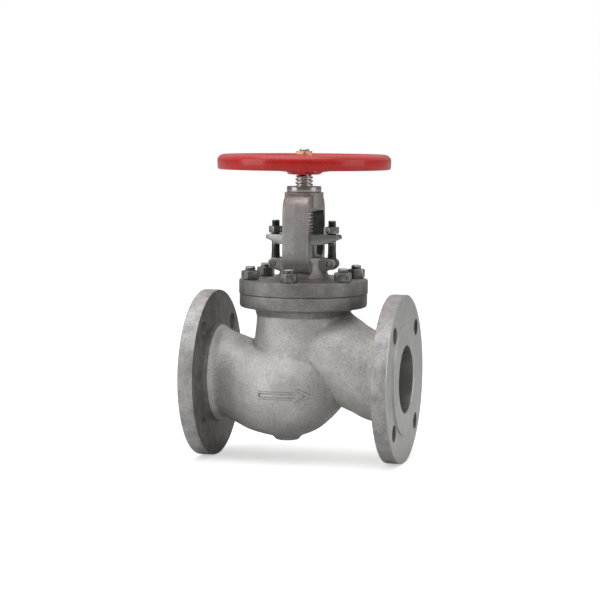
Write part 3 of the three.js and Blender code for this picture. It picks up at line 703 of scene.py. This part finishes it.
def lug(side, near):
    """One of the plates that carry an eye bolt's pin."""
    around = [math.radians(a) for a in (-62, -45, -30, -15, 0, 15, 30, 45, 60, 75, 90)]
    pin = middle("gland_pin_right")
    outline = [
        *[(pin.x + 6.2 * math.cos(a), pin.z + 6.2 * math.sin(a)) for a in around], (18, 134.2), (18, 117),
    ]
    return slab("lug", [(side * x, near, z) for x, z in outline], CAST, (0, 7, 0))


def between_the_arms(face):
    """Whether a face of the yoke looks at the stem."""
    along, up = face.center.y / MM, face.center.z / MM
    inward = -face.normal.y if along > 0 else face.normal.y
    return 136 < up < 188.5 and 24 < abs(along) < 36 and inward > 0.5


def bonnet_casting():
    box_wall = turned("box_wall", [
        (0, 103), (46, 103), (46, 110.2), (38.5, 110.7), (32.5, 112), (29, 114.6), (26.8, 117.6),
        (25.2, 121.5), (24.2, 126), (24, 136), (0, 136),
    ], CAST)
    boss = turned("yoke_boss", [(0, 188.4), (21, 188.4), (22, 189.4), (22, 210), (0, 210)], CAST)
    lugs = [lug(side, near) for side in (-1, 1) for near in (-12.5, 5.5)]
    casting = gathered(box_wall, boss, yoke_arm(-1), yoke_arm(1), *lugs)
    fused(casting, grain=0.85, passes=9)
    modified(casting, "DISPLACE", texture=bpy.data.textures["sand_lumps"], texture_coords="LOCAL",
             strength=BONNET_LUMPS * MM, mid_level=0.5)
    # Painted shade: the faces between the arms that look at the stem get the near-black copy.
    refinished(casting, OILED, between_the_arms)
    radius, bottom, top = BONNET_RIM
    spigot = RECESS[0] - 0.3
    # Painted shade: the bonnet's flange takes the darker copy.
    flange = turned("bonnet_flange", [
        (0, 74), (22, 74), (24, 91.7), (spigot, 91.7), (spigot, bottom), (radius - 0.5, bottom),
        (radius, bottom + 0.5), (radius, top - 1.8), (radius - 0.5, top - 0.6), (radius - 1.8, top), (30, top),
        (26, 112), (0, 112),
    ], EDGE, steps=128)
    joined(casting, flange)

    bore = turned("stem_bore", [
        (0, 70), (19.4, 70), (10.35, 79.05), (10.35, 97), (15, 97), (15, 133.8), (15.8, 134.6), (30, 134.6),
        (30, 150), (0, 150),
    ], FACED_Z)
    bush_seat = turned("bush_seat", [
        (0, 180), (14.3, 180), (14.3, 208.2), (40, 208.2), (40, 215), (0, 215),
    ], FACED_Z)
    screw_hole = turned("screw_hole", [(0, -30), (2.8, -30), (2.8, -10), (0, -10)], FACED_Z, steps=24,
                        axis="X", centre=(0, 0, LOCK_SCREW))
    stud_spots = [(*middle(f"bonnet_stud_{i}").xy, 0) for i in range(1, 7)]
    stud_holes = holes("clearance_hole", 6.8, 90, 115, stud_spots, FACED_Z)
    spot_faces = holes("spot_face", 12.2, top - 0.15, 121, stud_spots, FACED_Z, steps=SMALL_ROUND)
    pin_holes = holes("pin_hole", 3.8, -16, 16, [middle(f"gland_pin_{side}") for side in ("left", "right")],
                      FACED_Z, axis="Y")
    cut(casting, bore, bush_seat, screw_hole, spot_faces, stud_holes, pin_holes)
    casting.name = casting.data.name = "bonnet_casting"
    return casting


# ---------------------------------------------------------------- threads, studs and nuts

M12_THREAD = (5.9, 0.75, 1.75)  # radius, depth and pitch
M12_FLATS = 18

def threaded(name, radius, depth, pitch, low, high, finish, chamfer, steps, crest=0.14):
    """A right-hand threaded rod with chamfered ends; crest is half its flat, in pitches."""
    root = radius - depth
    flat = crest * pitch
    start = low - 2 * pitch
    rise = start + pitch / 2
    pen([(root, 0, start), (root, 0, start + flat), (radius, 0, rise), (radius, 0, rise + 2 * flat),
         (root, 0, start + pitch)])
    bpy.ops.object.mode_set(mode="OBJECT")
    blank = bpy.context.object
    modified(
        blank, "SCREW", axis="Z", angle=math.tau, screw_offset=pitch * MM, steps=steps, render_steps=steps,
        iterations=math.ceil((high - low) / pitch) + 4, use_merge_vertices=False,
    )
    edit(blank)
    bpy.ops.mesh.remove_doubles(threshold=MERGE)
    bpy.ops.mesh.fill_holes(sides=0)
    blank = made(name, finish)
    end = root - 0.2
    clear = radius + 0.3
    envelope = turned("envelope", [
        (0, low), (end, low), (clear, low + chamfer), (clear, high - chamfer), (end, high), (0, high),
    ], finish, steps=SMALL_ROUND)
    return combined(blank, envelope, "INTERSECT")


def hex_nut(name, flats, bottom, height, hole, finish, turn=0.0):
    """A chamfered hexagon with a countersunk hole, on the stem axis."""
    corner = flats / 2 / math.cos(math.pi / 6)
    top = bottom + height
    rest()
    bpy.ops.mesh.primitive_cylinder_add(
        vertices=6, radius=corner * MM, depth=height * MM, location=(0, 0, (bottom + height / 2) * MM),
        rotation=(0, 0, turn),
    )
    bpy.ops.object.transform_apply(location=True, rotation=True)
    edit()
    prism = made(name, finish)
    face = flats / 2 * 0.97
    wide = corner + 0.3
    drop = (wide - face) * math.tan(math.radians(28))
    crown = turned("crown", [
        (0, bottom), (face, bottom), (wide, bottom + drop), (wide, top - drop), (face, top), (0, top),
    ], finish, steps=72)
    combined(prism, crown, "INTERSECT")
    sink = hole * 0.12
    bore = turned("bore", [
        (0, bottom - 1), (hole + sink + 1, bottom - 1), (hole, bottom + sink), (hole, top - sink),
        (hole + sink + 1, top + 1), (0, top + 1),
    ], finish, steps=HOLE_ROUND)
    cut(prism, bore)
    return eased(prism, 0.18, segments=1, angle=25)


def flat_ring(node, name, inner, outer, finish, edge, segments=2, steps=SMALL_ROUND):
    """A ring as tall as its CAD node, with broken edges."""
    low, high = corners(node)
    section = [(inner, low.z), (outer, low.z), (outer, high.z), (inner, high.z)]
    piece = ring(name, section, finish, steps)
    stands_for(eased(piece, edge, segments), node)
    return piece


def bonnet_fasteners():
    low, high = corners("bonnet_stud_1")
    stud = threaded("stud", *M12_THREAD, low.z, high.z, FASTENER, chamfer=1.6, steps=24)
    nut_low, nut_high = corners("bonnet_nut_1")
    nut = hex_nut("nut", M12_FLATS, nut_low.z, nut_high.z - nut_low.z, 6.0, FASTENER)
    for i in range(1, 7):
        spot = (*middle(f"bonnet_stud_{i}").xy, 0)
        stands_for(copied(stud, f"bonnet_stud_{i}_threaded", spot), f"bonnet_stud_{i}")
        stands_for(copied(nut, f"bonnet_nut_{i}_hex", spot), f"bonnet_nut_{i}")
    bpy.data.objects.remove(stud)
    bpy.data.objects.remove(nut)


# ---------------------------------------------------------------- yoke bush, disc and stem


def yoke_bush():
    bush = ring("yoke_bush_turned", [
        (10.3, 187), (14, 187), (14, 208.5), (19.5, 208.5), (19.5, 215), (10.3, 215),
    ], BUSH)
    return eased(bush, 0.5)


def bush_screw():
    screw = turned("yoke_bush_lock_screw", [(0, -21.5), (2.1, -21.5), (2.5, -21.1), (2.5, -14.3), (0, -14.3)],
                   FASTENER, steps=HOLE_ROUND, axis="X", centre=(0, 0, LOCK_SCREW))
    rest()
    bpy.ops.mesh.primitive_cylinder_add(
        vertices=6, radius=1.45 * MM, depth=4 * MM, location=(-0.0215, 0, 0.198),
        rotation=(0, math.pi / 2, 0),
    )
    bpy.ops.object.transform_apply(location=True, rotation=True)
    edit()
    return cut(screw, made("socket", FASTENER))


def disc_and_nut():
    seat = 10.4
    disc = turned("disc_turned", [
        (0, 6), (35, 6), (35, seat - 1), (39.6, seat + 3.6), (39.6, 21), (36, 24), (22, 27), (19.5, 30),
        (19.5, 38), (14.5, 38), (14.5, 14), (0, 14),
    ], FACED_Z)
    stands_for(eased(disc, 0.4), "disc")
    apex = 64.8  # where the back seat's cone would end
    nut = ring("disc_nut_turned", [
        (10.4, 25.3), (14.2, 25.3), (14.2, 39), (15, 39), (15, apex - 15), (11, apex - 11), (10.4, apex - 11),
    ], FACED_Z)
    joined(nut, hex_nut("disc_nut_flats", 32, 38.3, 7.7, 12.4, FACED_Z))
    stands_for(eased(nut, 0.3), "disc_nut")


def square_bar(name, flats, low, high, finish):
    """A square block on the stem axis."""
    rest()
    bpy.ops.mesh.primitive_cube_add(
        size=1, location=(0, 0, (low + high) / 2 * MM), scale=(flats * MM, flats * MM, (high - low) * MM)
    )
    bpy.ops.object.transform_apply(location=True, scale=True)
    edit()
    return made(name, finish)


def stem():
    low, high = corners("stem")
    shank = turned("stem_threaded", [
        (0, low.z), (12.6, low.z), (14, low.z + 1.4), (14, 24.3), (13.4, 24.9), (10.6, 24.9), (10, 25.6),
        (10, 157.4), (7.6, 159.6), (0, 159.6),
    ], STEM)
    screw = threaded("stem_thread", 10, 2.2, 4, 158, 228, STEM, chamfer=2.2, crest=0.17, steps=48)
    square = eased(square_bar("stem_square", 14, 226.5, 243.5, STEM), 0.8)
    end = threaded("stem_end", *M12_THREAD, 240, high.z, STEM, chamfer=1.4, steps=24)
    return joined(shank, screw, square, end)


# ---------------------------------------------------------------- handwheel

FIRST_SPOKE = 18  # degrees round from +X
SPOKE_SPLIT = 236.5  # points above this go to the next station's top, others to its bottom

def spoke(turn):
    """One arm of the wheel, which climbs from the hub and spreads into the rim.

    Its last section closes to an edge at the top: by then all four points are above SPOKE_SPLIT.
    """
    pen([(12, -8.4, 230), (12, 8.4, 230), (12, 8.4, 242.4), (12, -8.4, 242.4), (12, -8.4, 230)])
    bpy.ops.mesh.remove_doubles(threshold=MERGE)
    bpy.ops.mesh.edge_face_add()
    for x, half, low, high in (
        (24, 6.6, 231.2, 242.2), (48, 6.2, 234.2, 244), (74, 6.8, 236.8, 245.4), (86, 9.4, 236.6, 246),
    ):
        bpy.ops.mesh.extrude_region_move(TRANSFORM_OT_translate={"value": (0, 0, 0)})
        mesh = bpy.context.object.data
        bpy.ops.object.mode_set(mode="OBJECT")
        for vertex in [v for v in mesh.vertices if v.select]:
            up = high if vertex.co.z > SPOKE_SPLIT * MM else low
            vertex.co = Vector((x, math.copysign(half, vertex.co.y), up)) * MM
        bpy.ops.object.mode_set(mode="EDIT")
    arm = made("spoke", RED)
    arm.data.transform(Matrix.Rotation(turn, 4, "Z"))
    return arm


def handwheel():
    inner, outer = 81.5, 98
    half = (outer - inner) / 2
    crown = [
        (inner + half + half * math.cos(a), 244 + 7 * math.sin(a))
        for a in (math.radians(10 * k) for k in range(19))
    ]
    rim = ring("handwheel_painted", [
        (inner + 2.2, 234), (outer - 2.4, 234), (outer - 1, 234.4), (outer - 0.3, 235.6), *crown,
        (inner, 236.2), (inner + 0.6, 234.6),
    ], RED, steps=160)
    hub = turned("hub", [
        (0, 228.3), (18, 228.3), (19.3, 229.2), (19.5, 231), (18.4, 242), (17.4, 243.8), (15.5, 244.6),
        (0, 244.6),
    ], RED, steps=64)
    spokes = [spoke(math.radians(FIRST_SPOKE + 72 * k)) for k in range(5)]
    web = fused(gathered(hub, *[eased(arm, 2.6, segments=3) for arm in spokes]), grain=0.9, passes=10)
    joined(rim, web)
    square_hole = square_bar("square_hole", 14.6, 216, 256, FASTENER)
    washer_seat = turned("washer_seat", [(0, 244.4), (13.4, 244.4), (13.4, 256), (0, 256)], RED)
    return cut(rim, square_hole, washer_seat)


def wheel_fasteners():
    flat_ring("wheel_washer", "wheel_washer_pressed", 6.3, 12.5, FASTENER, edge=0.3)
    low, high = corners("wheel_nut")
    nut = hex_nut("wheel_nut_brass", M12_FLATS, low.z, high.z - low.z, 6.05, BRASS, turn=math.radians(15))
    stands_for(nut, "wheel_nut")


# ---------------------------------------------------------------- packing and gland


def packing():
    """Five rings that the gland presses together, the washer under them, and the bonnet's gasket."""
    bore, box = 10.3, 14.7
    for i in range(1, 6):
        braid = flat_ring(f"packing_ring_{i}", f"packing_ring_{i}_braid", bore, box, GRAPHITE,
                          edge=0.7, segments=3)
        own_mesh(braid)
    flat_ring("packing_washer", "packing_washer_turned", bore, box, FACED_Z, edge=0.2)
    flat_ring("bonnet_gasket", "bonnet_gasket_pressed", 47, 54, GRAPHITE, edge=0.2, steps=ROUND)


def gland():
    quarter = [(43, 6.3), (42.4, 7.8), (41, 8.5), (38.5, 9.2), (24, 15.3), (18, 18.4), (12, 20.6), (6, 21.7)]
    outline = [
        *quarter, (0, 22), *[(-x, y) for x, y in reversed(quarter)],
        *[(-x, -y) for x, y in quarter], (0, -22), *[(x, -y) for x, y in reversed(quarter)],
    ]
    # Painted shade: the gland's plate, follower and cuts all take the darker copy.
    plate = slab("gland_turned", [(x, y, 150) for x, y in outline], GLAND, (0, 0, 10.8))
    follower = turned("follower", [
        (0, 125.1), (13.8, 125.1), (14.6, 125.9), (14.6, 148.6), (15.4, 150.4), (15.4, 152), (0, 152),
    ], GLAND)
    joined(plate, follower)
    under = [(25, 140), (60, 140), (60, 163), (26, 149.6)]
    over = [(40.8, 170), (40.8, 160.8), (43.8, 157.8), (60, 150), (60, 170)]
    slot_half, slot_end = 5.2, 33
    round_end = [
        (slot_end - slot_half * math.cos(a), -slot_half * math.sin(a))
        for a in (math.radians(90 - 15 * k) for k in range(13))
    ]
    open_slot = [(60, -slot_half), *round_end, (60, slot_half)]
    for side in (-1, 1):
        taper = slab("taper", [(side * x, -30, z) for x, z in under], GLAND, (0, 60, 0))
        tip = slab("tip", [(side * x, -30, z) for x, z in over], GLAND, (0, 60, 0))
        slot = slab("slot", [(side * x, y, 140) for x, y in open_slot], GLAND, (0, 0, 40))
        cut(plate, taper, tip, slot)
    bore = turned("gland_bore", [
        (0, 100), (10.35, 100), (10.35, 160), (11.2, 161), (11.2, 170), (0, 170),
    ], GLAND)
    return eased(cut(plate, bore), 0.5, angle=28)


def gland_bolts():
    """Two eye bolts with their nuts, and the pins they hinge on."""
    pin = middle("gland_pin_right")
    top = corners("gland_bolt_right")[1].z
    eye = turned("eye", [(0, -5), (6.1, -5), (6.8, -4.3), (6.8, 4.3), (6.1, 5), (0, 5)], EYE_BOLT,
                 steps=SMALL_ROUND, axis="Y", centre=(0, 0, pin.z))
    shank = turned("shank", [
        (0, pin.z), (5, pin.z), (5, pin.z + 7), (4.8, pin.z + 10), (4.5, pin.z + 14), (4.5, 152.6),
        (3.6, 153.6), (0, 153.6),
    ], EYE_BOLT, steps=SMALL_ROUND)
    screw = threaded("eye_bolt_thread", 4.6, 0.62, 1.5, 152, top, EYE_BOLT, chamfer=1.5, steps=24)
    bolt = joined(eye, shank, screw)
    cut(bolt, turned("eye_hole", [(0, -8), (3.8, -8), (3.8, 8), (0, 8)], EYE_BOLT, steps=HOLE_ROUND,
                     axis="Y", centre=(0, 0, pin.z)))
    nut_low, nut_high = corners("gland_nut_right")
    nut = hex_nut("nut", 14.3, nut_low.z, nut_high.z - nut_low.z, 4.7, FASTENER)
    for side, sign in (("left", -1), ("right", 1)):
        spot = (sign * pin.x, 0, 0)
        stands_for(copied(bolt, f"gland_bolt_{side}_eye", spot), f"gland_bolt_{side}")
        stands_for(copied(nut, f"gland_nut_{side}_hex", spot), f"gland_nut_{side}")
        peg = turned(f"gland_pin_{side}_peened", [
            (0, -13), (2.4, -13), (3.5, -12.2), (3.5, 12.2), (2.4, 13), (0, 13),
        ], FASTENER, steps=HOLE_ROUND, axis="Y", centre=(sign * pin.x, 0, pin.z))
        stands_for(peg, f"gland_pin_{side}")
    bpy.data.objects.remove(bolt)
    bpy.data.objects.remove(nut)


stands_for(body_casting(), "body")
stands_for(bonnet_casting(), "bonnet")
bonnet_fasteners()
stands_for(yoke_bush(), "yoke_bush")
stands_for(bush_screw(), "yoke_bush_screw")
disc_and_nut()
stands_for(stem(), "stem")
stands_for(handwheel(), "handwheel")
wheel_fasteners()
packing()
stands_for(gland(), "gland")
gland_bolts()

# ---------------------------------------------------------------- floor, lights and camera

TARGET = Vector((0, 0, 80)) * MM
AZIMUTH = math.radians(15.285)
ELEVATION = math.radians(5.11)
DISTANCE = 2.3104
ROLL = math.radians(0.35)


def floor():
    rest()
    bpy.ops.mesh.primitive_plane_add(size=14, location=(0, 0, -95.2 * MM))
    bpy.ops.object.transform_apply(location=True)
    sheet = bpy.context.object
    sheet.name = "floor"
    pale = Finish("pale_floor", metallic=0, roughness=0.8, colour=(0.8, 0.8, 0.8))
    seen = pale.node("ShaderNodeLightPath").outputs["Is Camera Ray"]
    pale.feed(Base_Color=pale.mix(seen, (0.62, 0.62, 0.62), (0.85, 0.85, 0.85)))
    pale.shader.inputs["Emission Color"].default_value = (1, 1, 1, 1)
    pale.feed(Emission_Strength=pale.maths("MULTIPLY", seen, 0.5))
    sheet.data.materials.append(pale.material)


def softbox(name, spot, width, height, power):
    data = bpy.data.lights.new(name, "AREA")
    data.shape = "RECTANGLE"
    data.size = width
    data.size_y = height
    data.energy = power
    lamp = bpy.data.objects.new(name, data)
    lamp.location = spot
    lamp.rotation_euler = (TARGET - Vector(spot)).to_track_quat("-Z", "Y").to_euler()
    bpy.context.collection.objects.link(lamp)


def camera():
    data = bpy.data.cameras.new("camera")
    data.sensor_width = 36
    data.lens = 122.17
    data.shift_x = -0.0057
    data.shift_y = 0.00885
    eye = bpy.data.objects.new("camera", data)
    level = math.cos(ELEVATION)
    away = Vector((math.sin(AZIMUTH) * level, -math.cos(AZIMUTH) * level, math.sin(ELEVATION)))
    eye.location = TARGET + away * DISTANCE
    turn = (-away).to_track_quat("-Z", "Y") @ Matrix.Rotation(ROLL, 3, "Z").to_quaternion()
    eye.rotation_euler = turn.to_euler()
    bpy.context.collection.objects.link(eye)
    bpy.context.scene.camera = eye


def surroundings():
    world = bpy.data.worlds.new("studio")
    bpy.context.scene.world = world
    world.use_nodes = True
    tree = world.node_tree
    back = tree.nodes["Background"]
    way = tree.nodes.new("ShaderNodeTexCoord").outputs["Generated"]
    seen = tree.nodes.new("ShaderNodeLightPath").outputs["Is Camera Ray"]

    def facing(direction, low, high, start, end):
        """A glow from start to end as the direction looked in nears the one given."""
        dot = tree.nodes.new("ShaderNodeVectorMath")
        dot.operation = "DOT_PRODUCT"
        dot.inputs[1].default_value = direction
        span = tree.nodes.new("ShaderNodeMapRange")
        for socket, value in zip(("From Min", "From Max", "To Min", "To Max"), (low, high, start, end)):
            span.inputs[socket].default_value = value
        tree.links.new(way, dot.inputs[0])
        tree.links.new(dot.outputs["Value"], span.inputs["Value"])
        return span.outputs["Result"]

    def summed(first, second, operation):
        node = tree.nodes.new("ShaderNodeMath")
        node.operation = operation
        tree.links.new(first, node.inputs[0])
        tree.links.new(second, node.inputs[1])
        return node.outputs[0]

    behind = facing((-0.26, 0.97, 0), -0.9, 0.7, 0.15, 0.3)
    above = facing((0, 0, 1), 0.1, 0.9, 0, 0.6)
    back_wall = summed(summed(behind, above, "ADD"), seen, "MAXIMUM")
    tree.links.new(back_wall, back.inputs["Strength"])
    back.inputs["Color"].default_value = (1, 1, 1, 1)
    bpy.context.scene.view_settings.view_transform = "Standard"


floor()
softbox("left_softbox", (-1.5, -1.05, 0.55), 1.2, 1.7, 12)
softbox("right_softbox", (1.75, -0.25, 0.5), 1.1, 1.6, 6.8)
softbox("top_softbox", (-0.2, -0.3, 1.9), 1.8, 1.5, 13)
surroundings()
camera()
